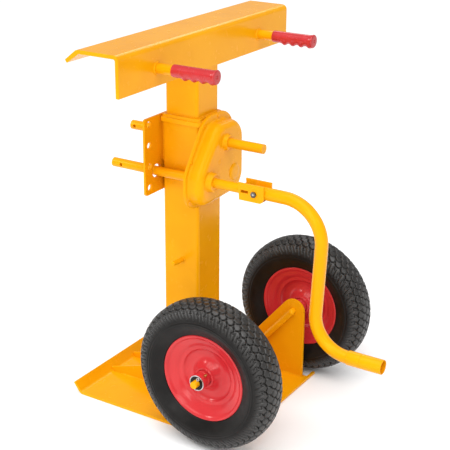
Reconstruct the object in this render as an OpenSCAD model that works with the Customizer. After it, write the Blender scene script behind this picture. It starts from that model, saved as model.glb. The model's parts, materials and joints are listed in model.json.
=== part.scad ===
// Wheeled trailer stabilising jack on a two-speed landing leg.
// Frame: +X toward the operator, +Y along the top beam, +Z up.
// The origin is on the floor, on the axis of the square leg.

/* [Base] */
// Width of the floor plate, across the wheels
base_width = 468; // [420:1:520]
// Thickness of the floor plate
base_thick = 7; // [5:0.5:10]
// How far the plate's centre lies from the leg's axis
base_offset = 28; // [0:1:40]
// Front edge of the plate, from the leg's axis
base_front = 258; // [240:1:280]
// Bend of the rear lip, from the leg's axis
base_rear = 248; // [220:1:280]
// Angle of the rear lip
lip_angle = 53; // [30:1:70]
// Length of the rear lip along its slope
lip_length = 39; // [20:1:60]

/* [Leg] */
// Side of the outer square tube
outer_side = 112; // [110:0.5:116]
// Wall of the outer tube
outer_wall = 4; // [3:0.25:4]
// Side of the inner leg and of the riser
inner_side = 100.5; // [98:0.25:101]
// Lower end of the outer tube
outer_bottom = 150; // [140:1:170]
// Height of the top of the beam
top_height = 1048; // [1040:1:1060]

/* [Beam] */
// Length of the beam
beam_length = 780; // [600:1:900]
// Thickness of the beam's plate
beam_thick = 9.5; // [6:0.5:12]
// Depth of the beam's upright web
beam_web = 101; // [80:1:120]
// Distance of each handle from the leg's axis
handle_spread = 237; // [180:1:300]

/* [Gearbox] */
// Radius of both cross shafts
shaft_radius = 12.7; // [12:0.1:13]
// Height of the output shaft
output_height = 755; // [750:1:757]
// Input shaft, sideways from the leg's axis
input_side = 77; // [76:0.5:78]
// Height of the input shaft
input_height = 668; // [667:0.5:669]
// Gear module
gear_module = 3; // [3]
// Teeth on the input gear
input_teeth = 20; // [20]
// Teeth on the idler gear
idler_teeth = 21; // [21]
// Teeth on the output gear
output_teeth = 16; // [16]
// Teeth on the bevel pinion
pinion_teeth = 16; // [16]
// Teeth on the bevel gear
bevel_teeth = 20; // [20]
// Lead of the lifting screw
screw_lead = 12; // [12]

/* [Crank] */
// Outside radius of the crank tube
crank_radius = 16.75; // [15:0.25:17]
// Radius of the upper crank bend, on the centreline
crank_bend_top = 106; // [90:1:112]
// Radius of the lower crank bend, on the centreline
crank_bend_low = 94; // [80:1:96]
// Drop of the crank handle below the shaft
crank_drop = 388; // [360:1:400]

/* [Wheels] */
// Outside radius of the tyre
tyre_radius = 203.2; // [195:0.2:204]
// Width of the tyre
tyre_width = 102; // [90:1:104]
// Radius of the rim flange
rim_radius = 119; // [112:0.5:122]
// Wheel axle, ahead of the leg's axis
axle_x = 204; // [198:1:206]
// Height of the wheel axle
axle_z = 211; // [210:1:220]
// Distance of each wheel from the plate's centre
wheel_offset = 256; // [254:1:262]
// Radius of the spindle
spindle_radius = 9.5; // [8:0.25:10]

/* [Hidden] */
$fn = 48;
running = 0.05;
inner_corner = 8;
inner_wall = 6;
leg_half = outer_side / 2;
riser_half = inner_side / 2;
plate_near = base_offset - base_width / 2;
plate_far = base_offset + base_width / 2;
bracket_in = 185;
bracket_thick = 8;
bracket_round = 35;
bracket_slope = 140;
notch_rear = 110;
notch_bar = 8;
lip_round = 12;
notch_in = 198;
gusset_thick = 6;
gusset_height = 84;
gusset_front = 48;
leg_top = 630;
nut_height = 38;
screw_radius = 16;
screw_bottom = 345;
thrust_z = 698;
thrust_thick = 10;
bearing_thick = 10;
collar_half = 62;
collar_low = 800;
collar_high = 821;
riser_low = 775;
bend_relief = 5;
case_back = 62;
case_front = 66;
cover_front = 108;
flange_lip = 3;
bolt_radius = 2.5;
bolt_button = 4;
cover_wall = 3.5;
cover_chamfer = 8;
input_tip = -201;
input_cross = -170;
output_tip = -193.5;
output_end = 220;
output_cross = -180;
cross_hole = 4.5;
groove_left = -72.5;
groove_right = 121.5;
groove_width = 1.5;
groove_depth = 0.5;
gear_x = 70;
gear_width = 12;
peg_x = 5;
peg_z = 421;
peg_droop = 4;
peg_radius = 6.5;
peg_length = 48;
bushing_radius = 16;
sleeve_radius = 18;
boss_upper = 120;
boss_lower = 124;
stud_radius = 8;
mount_front = -collar_half;
mount_thick = 6;
mount_half = 127;
mount_low = 609;
mount_high = 817.5;
mount_hole = 8.5;
mount_hole_y = 107.5;
mount_hole_low = 629;
mount_pitch = 57.5;
mount_rows = 4;
pivot_x = 250;
ear_round = 14;
slot_left = 211;
slot_right = 233;
slot_low = 666;
slot_height = 8;
clevis_left = 203;
clevis_right = 278;
clevis_low = 646.5;
clevis_high = 692;
clevis_half = 22;
clevis_wall = 4.5;
clevis_floor = 3.5;
pivot_radius = 6;
bolt_head = 8;
nut_corner = 10;
sleeve_left = 520;
sleeve_right = 616;
sleeve_outer = 19;
crank_wall = 3;
crank_straight_x = 433;
crank_low_x = 424;
crank_end = 606;
crank_start = 232.8;
seam_half = 1.5;
seam_height = 0.2;
grip_left = 107;
grip_right = 229;
grip_radius = 15.5;
lip_width = 5;
lobe_count = 4;
lobe_first = 142;
lobe_pitch = 25;
lobe_width = 13;
lobe_fall = 8;
lobe_radius = 12.5;
handle_z = 991;
hub_half = 59.5;
spindle_reach = 333;
shank_length = 224;
hub_radius = 22;
hub_bore = 17.5;
flange_half = 35;
wheel_near_y = base_offset - wheel_offset;
wheel_far_y = base_offset + wheel_offset;
beam_front = 60;
beam_back = -56;
lip_run = 39;
lip_fall = 26;

yellow = [0.96, 0.68, 0.12];
red = [0.82, 0.16, 0.18];
black = [0.12, 0.12, 0.12];
steel = [0.72, 0.72, 0.74];
brass = [0.78, 0.62, 0.3];

// Idler centre, from the two centre distances
ab = gear_module * (input_teeth + idler_teeth) / 2;
bc = gear_module * (idler_teeth + output_teeth) / 2;
dy = input_side;
dz = output_height - input_height;
ac = sqrt(dy * dy + dz * dz);
along = (ab * ab - bc * bc + ac * ac) / (2 * ac);
beside = sqrt(ab * ab - along * along);
idler_y = -input_side + along * dy / ac + beside * dz / ac;
idler_z = input_height + along * dz / ac - beside * dy / ac;
// Directions of the two meshes, and the gears' rest angles
mesh_in = atan2(idler_z - input_height, idler_y + input_side);
mesh_out = atan2(output_height - idler_z, -idler_y);
idler_turn = mesh_in + 180 + 180 / idler_teeth;
lead_on = mesh_out - idler_turn;
output_turn = mesh_out + 180 + 180 / output_teeth
    + lead_on * idler_teeth / output_teeth;
// Bevel pair
pinion_pitch = gear_module * pinion_teeth / 2;
bevel_pitch = gear_module * bevel_teeth / 2;
bevel_share = 0.72;

// ---------- outlines ----------
function arc(cx, cy, r, a0, a1, n) =
    [for (i = [0 : n]) [cx + r * cos(a0 + (a1 - a0) * i / n), cy + r * sin(a0 + (a1 - a0) * i / n)]];

// Square with rounded corners, half side h
function square_loop(h, r) = concat(
    arc(h - r, h - r, r, 0, 90, 6),
    arc(r - h, h - r, r, 90, 180, 6),
    arc(r - h, r - h, r, 180, 270, 6),
    arc(h - r, r - h, r, 270, 360, 6));

// Square tube with rounded corners, between two heights
module square_tube(half, wall, corner, low, high) {
    translate([0, 0, low])
        linear_extrude(high - low)
            difference() {
                polygon(square_loop(half, corner));
                polygon(square_loop(half - wall, max(corner - wall, 1)));
            }
}

// Involute of a base circle, at the angle where its radius is r
function inv_angle(rb, r) = let (t = sqrt(max(r * r / (rb * rb) - 1, 0))) t * 180 / PI - atan(t);

// One tooth's outline, centred on the local X axis
function tooth(z, m, slack) = let (
    rp = m * z / 2,
    rb = rp * cos(25),
    ra = rp + 0.8 * m,
    rf = rp - 1.05 * m,
    half = 90 / z - slack * 180 / PI / rp,
    start = max(rb, rf),
    rs = [for (i = [0 : 5]) start + (ra - start) * i / 5],
    right = [for (r = rs) let (a = half + inv_angle(rb, rp) - inv_angle(rb, r)) [r, -a]])
    concat([[rf, right[0][1]]], right, [for (i = [5 : -1 : 0]) [right[i][0], -right[i][1]]],
        [[rf, -right[0][1]]]);

function gear_loop(z, m, slack) = [for (k = [0 : z - 1], p = tooth(z, m, slack))
    [p[0] * cos(p[1] + 360 * k / z), p[0] * sin(p[1] + 360 * k / z)]];

module along_x(x, y, z) {
    translate([x, y, z]) rotate([90, 0, 90]) children();
}

module rod_x(x0, x1, y, z, r) {
    along_x(x0, y, z) cylinder(r = r, h = x1 - x0);
}

module rod_y(x, y0, y1, z, r) {
    translate([x, y0, z]) rotate([-90, 0, 0]) cylinder(r = r, h = y1 - y0);
}

module spur(z, turn, x, y, zc, bore) {
    difference() {
        along_x(x, y, zc) rotate(turn) linear_extrude(gear_width)
            polygon(gear_loop(z, gear_module, 0.14));
        rod_x(x - 1, x + gear_width + 1, y, zc, bore);
    }
}

// Plate outline in X and Z, drawn as a slab between two Y planes
module slab_y(points, y0, y1) {
    translate([0, y1, 0]) rotate([90, 0, 0]) linear_extrude(y1 - y0) polygon(points);
}

// ---------- base ----------
module base_plate() {
    lip_x = base_rear + lip_length * cos(lip_angle);
    lip_z = lip_length * sin(lip_angle);
    bend_x = -base_rear + (lip_round + base_thick) * tan(lip_angle / 2);
    bend_z = lip_round + base_thick;
    color(yellow) {
        difference() {
            translate([bend_x, plate_near, 0])
                cube([base_front - bend_x, base_width, base_thick]);
            for (s = [-1, 1])
                translate([notch_rear, s > 0 ? base_offset + notch_in : plate_near - 1, -1])
                    cube([base_front - notch_rear - notch_bar, base_width / 2 - notch_in + 1,
                        base_thick + 2]);
        }
        slab_y(concat(
            arc(bend_x, bend_z, bend_z, 270, 270 - lip_angle, 8),
            [[-lip_x, lip_z], [-lip_x + base_thick * sin(lip_angle),
            lip_z + base_thick * cos(lip_angle)]],
            arc(bend_x, bend_z, lip_round, 270 - lip_angle, 270, 8)), plate_near, plate_far);
    }
}

module bracket(inner) {
    out = inner > base_offset ? bracket_thick : -bracket_thick;
    edge = axle_x + bracket_round;
    tip = [axle_x + bracket_round * cos(bracket_slope), axle_z + bracket_round * sin(bracket_slope)];
    foot = tip[0] - (tip[1] - base_thick) / tan(bracket_slope - 90);
    color(yellow)
        difference() {
            slab_y(concat([[foot, base_thick], [edge, base_thick]],
                arc(axle_x, axle_z, bracket_round, 0, bracket_slope, 14)),
                min(inner, inner + out), max(inner, inner + out));
            rod_y(axle_x, inner - 20, inner + 20, axle_z, spindle_radius);
        }
}

module bracket_near() bracket(base_offset - bracket_in);
module bracket_far() bracket(base_offset + bracket_in);

module gusset(y) {
    rise = 0.324;
    rear = -base_rear - 4.6;
    color(yellow)
        slab_y([[-base_rear + 12, base_thick], [gusset_front, base_thick],
            [gusset_front, gusset_height - 30],
            [gusset_front - 20, gusset_height], [rear + (gusset_height - 18.2) / rise, gusset_height],
            [rear, 18.2], [rear + 4.7, 12.2], [rear + 9, 8.8]], y, y + gusset_thick);
}

module gusset_near() gusset(-riser_half - gusset_thick);
module gusset_far() gusset(riser_half);

module inner_leg() {
    color(yellow) square_tube(riser_half, inner_wall, inner_corner, base_thick, leg_top);
}

module lift_nut() {
    half = riser_half - inner_wall;
    color(steel)
        difference() {
            translate([0, 0, leg_top - nut_height - 2])
                linear_extrude(nut_height) polygon(square_loop(half, 2));
            translate([0, 0, leg_top - nut_height - 3])
                cylinder(r = screw_radius + running, h = nut_height + 2);
        }
}

// Spindle with its shank turned down along the bracket's inner face
module spindle(inner) {
    side = inner > base_offset ? 1 : -1;
    end_y = base_offset + side * spindle_reach;
    face = inner - side * (spindle_radius + 0.4);
    color(yellow) {
        rod_y(axle_x, min(face, end_y), max(face, end_y), axle_z, spindle_radius);
        translate([axle_x, face, axle_z]) sphere(r = spindle_radius + 0.3);
        translate([axle_x, face, axle_z]) rotate([0, -140, 0])
            cylinder(r = spindle_radius - 0.3, h = shank_length);
    }
}

module spindle_near() spindle(base_offset - bracket_in);
module spindle_far() spindle(base_offset + bracket_in);

module washer(side) {
    y = base_offset + side * (wheel_offset + hub_half + 0.5);
    difference() {
        rod_y(axle_x, min(y, y + side * 2.5), max(y, y + side * 2.5), axle_z, 21);
        rod_y(axle_x, y - 5, y + 5, axle_z, spindle_radius + running);
    }
}

module axle_washers() {
    color(steel) for (s = [-1, 1]) washer(s);
}

module cotter_pins() {
    color(steel)
        for (s = [-1, 1])
            translate([axle_x, base_offset + s * (wheel_offset + hub_half + 8), axle_z]) {
                for (e = [-1, 1])
                    rotate([0, 25, 0]) {
                        translate([0, 0, e > 0 ? spindle_radius + 0.3 : -spindle_radius - 9])
                            cylinder(r = 1.6, h = 8.7);
                    }
                rotate([0, 25, 0]) translate([0, 0, spindle_radius + 11]) rotate([90, 0, 0])
                    rotate_extrude() translate([3.2, 0]) circle(r = 1.3, $fn = 16);
            }
}

// ---------- column ----------
module outer_tube() {
    color(yellow)
        difference() {
            square_tube(leg_half, outer_wall, inner_corner, outer_bottom, collar_low + 14);
            rod_x(-leg_half - 1, leg_half + 1, 0, output_height, bushing_radius);
        }
}

module top_collar() {
    color(yellow)
        difference() {
            union() {
                translate([0, 0, collar_low]) linear_extrude(13) polygon(square_loop(collar_half, 10));
                translate([0, 0, collar_low + 13]) linear_extrude(collar_high - collar_low - 13)
                    polygon(square_loop(collar_half - 4, 9));
            }
            translate([0, 0, collar_low - 1]) linear_extrude(15)
                polygon(square_loop(leg_half, inner_corner));
            translate([0, 0, collar_low + 10]) linear_extrude(20)
                polygon(square_loop(riser_half, inner_corner));
        }
}

// Riser with its front top edge cut away for the beam's inner bend
module riser_tube() {
    top = top_height - beam_thick;
    color(yellow)
        difference() {
            square_tube(riser_half, inner_wall, inner_corner, riser_low, top);
            translate([riser_half - bend_relief, -riser_half - 1, top - bend_relief])
                cube([bend_relief + 1, 2 * riser_half + 2, bend_relief + 1]);
        }
}

// Bent plate: web at the front, flat top, sloping lead-in at the back
module beam() {
    half_bend = atan2(lip_fall, lip_run) / 2;
    inner_lip = beam_thick * tan(half_bend);
    slope = 2 * half_bend;
    t = beam_thick;
    r = 14;
    pts = concat(
        [[beam_front - t, top_height - beam_web], [beam_front, top_height - beam_web]],
        arc(beam_front - r, top_height - r, r, 0, 90, 8),
        arc(beam_back, top_height - r, r, 90, 90 + slope, 5),
        [[beam_back - lip_run, top_height - lip_fall - 1],
            [beam_back - lip_run + t * sin(slope), top_height - lip_fall - 1 - t * cos(slope)]],
        [[beam_back + inner_lip - 1, top_height - t]],
        arc(beam_front - r, top_height - r, r - t, 90, 0, 6));
    color(yellow) slab_y(pts, -beam_length / 2, beam_length / 2);
}

module handle_bar(y) {
    color(yellow) rod_x(beam_front, grip_right - 6, y, handle_z, shaft_radius - 0.2);
}

module handle_bar_near() handle_bar(-handle_spread);
module handle_bar_far() handle_bar(handle_spread);

// Moulded grip: round body, four finger lobes below, thicker lip with a dimple at the outer end
module grip(y) {
    color(red)
        difference() {
            union() {
                rod_x(grip_left, grip_right, y, handle_z, grip_radius);
                rod_x(grip_right - lip_width, grip_right, y, handle_z, grip_radius + 2);
                for (i = [0 : lobe_count - 1])
                    rod_x(lobe_first + lobe_pitch * i - lobe_width / 2,
                        lobe_first + lobe_pitch * i + lobe_width / 2,
                        y, handle_z - lobe_fall, lobe_radius);
            }
            rod_x(grip_left - 1, grip_right - 6, y, handle_z, shaft_radius - 0.2);
            rod_x(grip_right - 2, grip_right + 1, y, handle_z, 3.5);
        }
}

module grip_near() grip(-handle_spread);
module grip_far() grip(handle_spread);

module mounting_plate() {
    height = mount_high - mount_low;
    color(yellow)
        difference() {
            union() {
                translate([mount_front - mount_thick, 0, mount_low])
                    rotate([90, 0, 90]) linear_extrude(mount_thick)
                        polygon(concat(
                            arc(mount_half - 8, 8, 8, 270, 360, 6),
                            arc(mount_half - 8, height - 8, 8, 0, 90, 6),
                            arc(8 - mount_half, height - 8, 8, 90, 180, 6),
                            arc(8 - mount_half, 8, 8, 180, 270, 6)));
                for (s = [-1, 1])
                    translate([mount_front, s > 0 ? 30 : -46, 690])
                        cube([-leg_half - mount_front, 16, 108]);
            }
            for (s = [-1, 1], i = [0 : mount_rows - 1])
                rod_x(mount_front - 20, mount_front + 5, s * mount_hole_y,
                    mount_hole_low + mount_pitch * i, mount_hole);
            rod_x(mount_front - 20, mount_front + 5, -input_side, input_height, 18.5);
            rod_x(mount_front - 20, mount_front + 5, 0, output_height, bushing_radius);
        }
}

// Flange outline: circles as [y, z, radius] under one taut loop
flange_circles = [[-78, 648, 58], [-80, 672, 56], [-9, 761, 63], [34, 761, 63], [42, 652, 62]];
cover_circles = [[-76, 650, 48], [-77, 674, 46], [-4, 754, 52], [36, 751, 54], [36, 661, 55]];

module round_outline(circles, g) {
    hull() for (c = circles) translate([c[0], c[1]]) circle(r = c[2] + g);
}

module gearbox_case() {
    color(yellow)
        difference() {
            union() {
                along_x(case_back, 0, 0) linear_extrude(case_front - case_back)
                    round_outline(flange_circles, 0);
                translate([leg_half, -50, 605]) cube([case_back - leg_half, 100, 190]);
            }
            rod_x(leg_half - 5, case_front + 5, 0, output_height, bushing_radius);
            rod_x(leg_half - 5, case_front + 5, -input_side, input_height, bushing_radius);
            rod_x(leg_half - 5, case_front + 5, idler_y, idler_z, stud_radius);
            cover_bolt_holes();
        }
}

bolt_spots = [[20, 815], [78, 795], [-43.5, 801.5], [-107, 720], [-120, 618], [-17.5, 597], [95, 640]];

module cover_bolt_holes() {
    for (p = bolt_spots) rod_x(case_back - 5, case_front + 5, p[0], p[1], bolt_radius);
}

module gearbox_cover() {
    color(yellow)
        difference() {
            union() {
                along_x(case_front, 0, 0) linear_extrude(flange_lip) round_outline(flange_circles, -0.5);
                along_x(case_front, 0, 0) linear_extrude(cover_front - cover_chamfer - case_front)
                    round_outline(cover_circles, 0);
                along_x(cover_front - cover_chamfer, 0, 0) linear_extrude(cover_chamfer / 2)
                    round_outline(cover_circles, -2);
                along_x(cover_front - cover_chamfer, 0, 0) linear_extrude(cover_chamfer)
                    round_outline(cover_circles, -6);
                rod_x(cover_front - 6, boss_upper, 0, output_height, 21);
                rod_x(cover_front - 6, boss_lower, -input_side, input_height, 25);
                rod_x(cover_front - 6, cover_front + 4, 38, 665, 23);
            }
            along_x(case_front - 1, 0, 0) linear_extrude(cover_front - cover_wall - case_front + 1)
                round_outline(cover_circles, -cover_wall - 5);
            along_x(case_front - 1, 0, 0) linear_extrude(30) round_outline(cover_circles, -cover_wall);
            rod_x(case_front, boss_upper + 5, 0, output_height, bushing_radius);
            rod_x(case_front, boss_lower + 5, -input_side, input_height, sleeve_radius + running);
            rod_x(case_front, cover_front + 5, idler_y, idler_z, stud_radius);
            for (p = bolt_spots) rod_x(case_front - 5, case_front + 8, p[0], p[1], bolt_radius);
        }
}

module cover_bolts() {
    color(steel)
        for (p = bolt_spots) {
            rod_x(case_back + 0.3, case_front + flange_lip, p[0], p[1], bolt_radius - 0.1);
            along_x(case_front + flange_lip, p[0], p[1]) cylinder(r = bolt_button, h = 2.5, $fn = 6);
        }
}

module ring_x(x0, x1, y, z, outer, bore) {
    difference() {
        rod_x(x0, x1, y, z, outer);
        rod_x(x0 - 1, x1 + 1, y, z, bore);
    }
}

module output_bushings() {
    fit = shaft_radius + running;
    color(steel) {
        ring_x(mount_front - mount_thick - 2, -leg_half + outer_wall + 2, 0, output_height,
            bushing_radius, fit);
        ring_x(leg_half - outer_wall - 2, case_front + 2, 0, output_height, bushing_radius, fit);
        ring_x(cover_front - 8, boss_upper, 0, output_height, bushing_radius, fit);
    }
}

module input_bushing() {
    color(steel)
        ring_x(leg_half, case_front + 2, -input_side, input_height, bushing_radius,
            shaft_radius + running);
}

module idler_stud() {
    color(steel) {
        rod_x(leg_half, cover_front, idler_y, idler_z, stud_radius);
        rod_x(cover_front, cover_front + 1.5, idler_y, idler_z, stud_radius - 1);
    }
}

module thrust_plate() {
    half = leg_half - outer_wall;
    color(steel)
        difference() {
            translate([0, 0, thrust_z]) linear_extrude(thrust_thick) polygon(square_loop(half, 4));
            translate([0, 0, thrust_z - 1]) cylinder(r = shaft_radius + running, h = thrust_thick + 2);
        }
}

module thrust_bearing() {
    color(steel)
        difference() {
            translate([0, 0, thrust_z + thrust_thick]) cylinder(r = 26, h = bearing_thick - 0.5);
            translate([0, 0, thrust_z]) cylinder(r = shaft_radius + 0.5, h = 40);
        }
}

module stow_peg() {
    color(yellow)
        translate([peg_x, -leg_half, peg_z]) rotate([90 - peg_droop, 0, 0])
            translate([0, 0, 0.5]) cylinder(r = peg_radius, h = peg_length);
}

// ---------- turning pieces in the gearbox ----------
module drive_sleeve() {
    color(steel)
        ring_x(cover_front - 9, boss_lower - 0.5, -input_side, input_height, sleeve_radius,
            shaft_radius + running);
}

// Shallow groove for a snap ring, starting at x
module snap_groove(x, y, z) {
    ring_x(x, x + groove_width, y, z, shaft_radius + 1, shaft_radius - groove_depth);
}

module input_shaft() {
    color(yellow)
        difference() {
            rod_x(input_tip, clevis_left + 1, -input_side, input_height, shaft_radius);
            rod_y(input_cross, -input_side - 30, -input_side + 30, input_height, cross_hole);
            snap_groove(groove_left, -input_side, input_height);
        }
}

module input_gear() {
    color(steel) spur(input_teeth, mesh_in, gear_x, -input_side, input_height, shaft_radius);
}

module idler_gear() {
    color(steel) spur(idler_teeth, idler_turn, gear_x, idler_y, idler_z, stud_radius + running);
}

module output_gear() {
    color(steel) spur(output_teeth, output_turn, gear_x, 0, output_height, shaft_radius);
}

module output_shaft() {
    color(yellow)
        difference() {
            rod_x(output_tip, output_end, 0, output_height, shaft_radius);
            rod_y(output_cross, -30, 30, output_height, cross_hole);
            snap_groove(groove_left, 0, output_height);
            snap_groove(groove_right, 0, output_height);
        }
}

// Straight bevel teeth, cut toward the apex where both axes cross
module bevel(z, pitch, other) {
    translate([0, 0, -other])
        linear_extrude(other * (1 - bevel_share), scale = bevel_share)
            polygon(gear_loop(z, gear_module, 0.2));
}

module bevel_pinion() {
    color(steel)
        difference() {
            union() {
                translate([0, 0, output_height]) rotate([90, 0, 90]) rotate(-90)
                    bevel(pinion_teeth, pinion_pitch, bevel_pitch);
                rod_x(-bevel_pitch - 7, -bevel_pitch, 0, output_height, pinion_pitch - 5);
            }
            rod_x(-60, 0, 0, output_height, shaft_radius);
        }
}

module bevel_gear() {
    color(steel)
        difference() {
            union() {
                translate([0, 0, output_height]) rotate(180 / bevel_teeth)
                    bevel(bevel_teeth, bevel_pitch, pinion_pitch);
                translate([0, 0, thrust_z + thrust_thick + bearing_thick])
                    cylinder(r = bevel_pitch - 5, h = output_height - pinion_pitch + 2
                        - thrust_z - thrust_thick - bearing_thick);
            }
            translate([0, 0, thrust_z]) cylinder(r = shaft_radius, h = 60);
        }
}

module lift_screw() {
    groove = 2.4;
    turns = floor((thrust_z - screw_bottom - 8) / screw_lead);
    color(steel) {
        translate([0, 0, thrust_z - 0.5])
            cylinder(r = shaft_radius, h = output_height - pinion_pitch - thrust_z);
        rotate_extrude() polygon(concat(
            [[0, screw_bottom]],
            [for (i = [0 : turns - 1], p = [[screw_radius, 0], [screw_radius, 6],
            [screw_radius - groove, 7.5],
                [screw_radius - groove, 10.5]]) [p[0], screw_bottom + i * screw_lead + p[1]]],
            [[screw_radius, screw_bottom + turns * screw_lead], [screw_radius, thrust_z - 0.5],
            [0, thrust_z - 0.5]]));
    }
}

// ---------- crank ----------
// Trough-shaped clevis: two ears, a floor and a back wall
module clevis() {
    y0 = -input_side - clevis_half;
    color(yellow)
        difference() {
            slab_y(concat([[clevis_left, clevis_high], [clevis_left + 4, clevis_low]],
                arc(clevis_right - ear_round, clevis_low + ear_round, ear_round, 270, 360, 8),
                [[clevis_right, clevis_high]]), y0, y0 + 2 * clevis_half);
            translate([clevis_left + clevis_wall, y0 + clevis_wall, clevis_low + clevis_floor])
                cube([100, 2 * (clevis_half - clevis_wall), 100]);
            translate([clevis_left - 10, y0 + clevis_wall, input_height + shaft_radius])
                cube([100, 2 * (clevis_half - clevis_wall), 100]);
            rod_y(pivot_x, y0 - 1, y0 + 2 * clevis_half + 1, input_height, pivot_radius + running);
            translate([slot_left, y0 - 1, slot_low])
                cube([slot_right - slot_left, clevis_wall + 2, slot_height]);
        }
}

module clevis_bolt() {
    y0 = -input_side - clevis_half;
    color(steel) {
        rod_y(pivot_x, y0, y0 + 2 * clevis_half + 12, input_height, pivot_radius);
        translate([pivot_x, y0, input_height]) rotate([90, 0, 0]) cylinder(r = bolt_head, h = 5, $fn = 6);
    }
}

module clevis_nut() {
    y1 = -input_side + clevis_half;
    color(steel)
        difference() {
            translate([pivot_x, y1 + 9.5, input_height]) rotate([90, 0, 0])
                cylinder(r = nut_corner, h = 9, $fn = 6);
            rod_y(pivot_x, y1 - 1, y1 + 12, input_height, pivot_radius);
        }
}

// Centreline of the crank: two bends joined by their inner tangent
crank_low = input_height - crank_drop;
crank_c1 = [crank_straight_x - crank_bend_top, input_height - crank_bend_top];
crank_c2 = [crank_low_x + crank_bend_low, crank_low + crank_bend_low];
crank_span = crank_c2 - crank_c1;
crank_tilt = atan2(crank_span[1], crank_span[0])
    + acos((crank_bend_top + crank_bend_low) / norm(crank_span));
crank_dir = [cos(crank_tilt), sin(crank_tilt)];
crank_p1 = crank_c1 + crank_bend_top * crank_dir;
crank_p2 = crank_c2 - crank_bend_low * crank_dir;

// Straight run in the crank's plane, stopped short of its ends by the seam's half length
module crank_run(from, to, r, start_gap, end_gap) {
    length = norm(to - from);
    translate([from[0], -input_side, from[1]])
        rotate([0, atan2(to[0] - from[0], to[1] - from[1]), 0])
            translate([0, 0, start_gap]) cylinder(r = r, h = length - start_gap - end_gap);
}

module crank_bend(centre, bend, start, sweep, r) {
    translate([centre[0], -input_side, centre[1]]) rotate([90, 0, 0]) rotate(start)
        rotate_extrude(angle = sweep) translate([bend, 0]) circle(r = r);
}

// Short thicker ring over each place where a run meets a bend
module crank_seam(at, angle, r) {
    translate([at[0], -input_side, at[1]]) rotate([0, angle, 0])
        translate([0, 0, -seam_half]) cylinder(r = r + seam_height, h = 2 * seam_half);
}

module crank_solid(r, more) {
    gap = seam_half / 3;
    down = atan2(crank_p2[0] - crank_p1[0], crank_p2[1] - crank_p1[1]);
    crank_run([crank_start - more, input_height], [crank_c1[0], input_height], r, 0, gap);
    crank_seam([crank_c1[0], input_height], 90, r);
    crank_bend(crank_c1, crank_bend_top, crank_tilt + 0.2, 89.6 - crank_tilt, r);
    crank_seam(crank_p1, down, r);
    crank_run(crank_p1, crank_p2, r, gap, gap);
    crank_seam(crank_p2, down, r);
    crank_bend(crank_c2, crank_bend_low, 180.2 + crank_tilt, 89.6 - crank_tilt, r);
    crank_seam([crank_c2[0], crank_low], 90, r);
    crank_run([crank_c2[0], crank_low], [crank_end + more, crank_low], r, gap, 0);
}

// Everything behind the pivot that lies outside the turning radius
module crank_end_round() {
    difference() {
        translate([pivot_x - 30, -input_side - 20, input_height - 25]) cube([30, 40, 50]);
        rod_y(pivot_x, -input_side - 21, -input_side + 21, input_height, crank_radius + 0.45);
    }
}

module crank_tube() {
    color(yellow)
        difference() {
            crank_solid(crank_radius, 0);
            crank_solid(crank_radius - crank_wall, 1);
            crank_end_round();
            rod_y(pivot_x, -input_side - 40, -input_side + 40, input_height, pivot_radius + running);
        }
}

module crank_sleeve() {
    color(yellow)
        ring_x(sleeve_left, sleeve_right, -input_side, input_height - crank_drop, sleeve_outer,
            crank_radius + running);
}

// ---------- wheels ----------
// Local frame: axis along Z, outer side at +Z
module wheel_place(y, side) {
    translate([axle_x, y, axle_z]) rotate([side > 0 ? -90 : 90, 0, 0]) children();
}

// Half of the tyre's outline, from the crown down the side to the bead: [radius below crown, side]
tyre_side = [[0, 0], [0.6, 12], [2.6, 22], [6.3, 30], [13.9, 38.9], [24.4, 45.6], [33, 48.8],
    [41, 50.4], [47, 51], [53, 50.4], [61, 47.6], [69, 43.6], [76, 39.8], [81, 37], [83.4, 35.2]];
tyre_well = [[83.4, 29.2], [93, 29.2], [95.2, 26.5], [99.2, 23.8], [101, 22.8]];
tyre_cavity = [[12, 0], [13, 14], [19, 28], [30, 37], [44, 40], [58, 37.5], [68, 31], [76, 22],
    [81, 12], [84, 5], [84, 0]];

module tyre_solid() {
    half = concat(tyre_side, tyre_well);
    scale_w = tyre_width / 102;
    outer = concat(
        [for (p = half) [tyre_radius - p[0], scale_w * p[1]]],
        [for (i = [len(half) - 1 : -1 : 1]) [tyre_radius - half[i][0], -scale_w * half[i][1]]]);
    cavity = concat(
        [for (p = tyre_cavity) [tyre_radius - p[0], scale_w * p[1]]],
        [for (i = [len(tyre_cavity) - 2 : -1 : 1])
            [tyre_radius - tyre_cavity[i][0], -scale_w * tyre_cavity[i][1]]]);
    rotate_extrude($fn = 96)
        difference() {
            polygon(outer);
            polygon(cavity);
        }
}

module tyre_near() { color(black) wheel_place(wheel_near_y, -1) tyre_solid(); }
module tyre_far() { color(black) wheel_place(wheel_far_y, 1) tyre_solid(); }

// Stamped half rim as a closed sheet outline, outer half at +Z
module rim_half(s) {
    t = 2.5;
    h = flange_half;
    face = [[rim_radius, h - 3], [rim_radius - 1.5, h], [rim_radius - 7, h - 0.6], [108.5, h - 4.5],
        [104, h - 7.5], [92, 22], [84, 16.5], [80, 14.6], [74, 13.6], [71.5, 11.5], [68, 7.5], [60, 4],
        [50, 3.2], [40, 7], [30, 17], [25, 25], [hub_radius + 0.1, 28]];
    rotate_extrude($fn = 96)
        polygon(concat(
            [for (p = face) [p[0], s * p[1]]],
            [for (i = [len(face) - 1 : -1 : 0]) let (p = face[i])
                [p[0] - (i < 5 ? 0.8 : 0), s * (p[1] - t)]]));
}

module rim_outer_near() { color(red) wheel_place(wheel_near_y, -1) rim_half(1); }
module rim_inner_near() { color(red) wheel_place(wheel_near_y, -1) rim_half(-1); }
module rim_outer_far() { color(red) wheel_place(wheel_far_y, 1) rim_half(1); }
module rim_inner_far() { color(red) wheel_place(wheel_far_y, 1) rim_half(-1); }

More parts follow.
